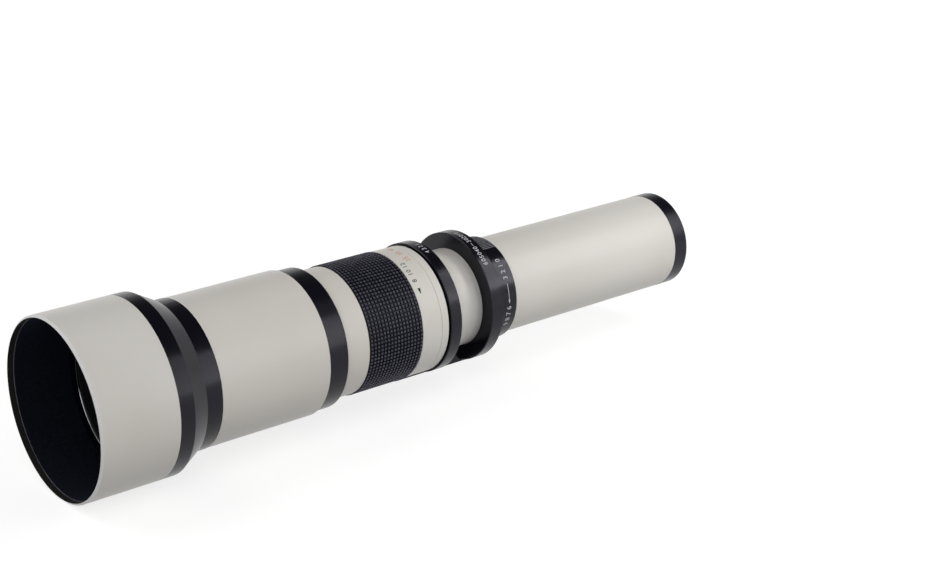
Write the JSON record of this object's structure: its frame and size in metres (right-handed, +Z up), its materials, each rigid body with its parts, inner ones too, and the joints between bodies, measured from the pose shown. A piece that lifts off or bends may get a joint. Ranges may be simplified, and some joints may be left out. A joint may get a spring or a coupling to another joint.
{
  "type": "telephoto zoom lens",
  "caption": "Cream and black manual telephoto zoom lens with a wide hood, ribbed-rubber focus ring, push-pull zoom tube with lock ring, tripod collar and screw mount.",
  "frame": {"origin": "centre of the tripod socket's mouth on the foot's underside", "axes": "+X along the optical axis, from the hood to the camera end; +Z up, from the foot to the optical axis; +Y completes the right-handed frame"},
  "size_m": [0.5499, 0.128, 0.128],
  "materials": {
    "cream_enamel": "satin cream enamel sprayed over turned aluminium",
    "black_anodised": "fine turned, satin black anodised",
    "black_collar": "satin black paint over machined aluminium",
    "black_flock": "matt black flocking",
    "flat_black": "matt black, glare-free",
    "coated_glass": "polished optical glass with a blue-green coating",
    "grip_rubber": "moulded rubber with small square studs",
    "plain_alloy": "turned, uncoated",
    "bright_steel": "turned, plated",
    "brass": "turned, uncoated",
    "slide_bush": "low-friction plastic, natural"
  },
  "bodies": {
    "barrel": {"front_ring": "black_anodised", "front_trim_ring": "flat_black", "objective_crown": "coated_glass", "objective_flint": "coated_glass", "objective_cell": "flat_black", "objective_lock_ring": "flat_black", "front_barrel": "cream_enamel", "barrel_baffle": "flat_black", "barrel_rear_ring": "black_anodised", "guide_tube": "plain_alloy", "guide_tube_screws": "bright_steel", "index_ring": "cream_enamel", "focus_stop_pin": "bright_steel", "groove_ring": "flat_black", "tube_bush": "slide_bush", "tripod_collar": "black_collar", "collar_screws": "bright_steel", "foot_plate": "black_collar", "foot_screws": "bright_steel", "tripod_bush": "bright_steel", "guide_key": "bright_steel", "lock_collet": "slide_bush"},
    "hood": {"hood_tube": "cream_enamel", "hood_lining": "black_flock", "hood_adapter": "black_anodised", "hood_felt": "black_flock"},
    "focus_ring": {"focus_sleeve": "cream_enamel", "focus_grip": "grip_rubber"},
    "focus_group": {"focus_carriage": "flat_black", "focus_front_glass": "coated_glass", "focus_rear_glass": "coated_glass", "focus_cell": "flat_black", "focus_lock_ring": "flat_black", "focus_pins": "brass"},
    "lock_ring": {"lock_ring": "black_anodised"},
    "zoom_tube": {"zoom_tube": "cream_enamel", "zoom_cell": "flat_black", "zoom_front_glass": "coated_glass", "zoom_rear_glass": "coated_glass", "zoom_lock_ring": "flat_black", "tube_baffle_front": "flat_black", "tube_baffle_middle": "flat_black", "tube_baffle_rear": "flat_black", "end_ring": "black_anodised", "rear_cell": "flat_black", "rear_front_glass": "coated_glass", "rear_rear_glass": "coated_glass", "rear_lock_ring": "flat_black", "mount_ring": "bright_steel", "mount_screws": "bright_steel"}
  },
  "joints": [
    {"name": "hood_slide", "type": "slide", "parent": "barrel", "child": "hood", "axis": [-1, 0, 0], "range_m": [0, 0.06]},
    {"name": "focus_turn", "type": "hinge", "parent": "barrel", "child": "focus_ring", "pos_m": [-0.07255, 0, 0.0493], "axis": [1, 0, 0], "range_deg": [0, 150]},
    {"name": "focus_shift", "type": "slide", "parent": "barrel", "child": "focus_group", "axis": [-1, 0, 0], "range_m": [0, 0.0111]},
    {"name": "lock_turn", "type": "hinge", "parent": "barrel", "child": "lock_ring", "pos_m": [0.03545, 0, 0.0493], "axis": [1, 0, 0], "range_deg": [-60, 0]},
    {"name": "zoom_slide", "type": "slide", "parent": "barrel", "child": "zoom_tube", "axis": [1, 0, 0], "range_m": [-0.16, 0]}
  ],
  "couplings": [
    {"joint": "focus_shift", "follows": "focus_turn", "m_per_rad": 0.0042017}
  ]
}
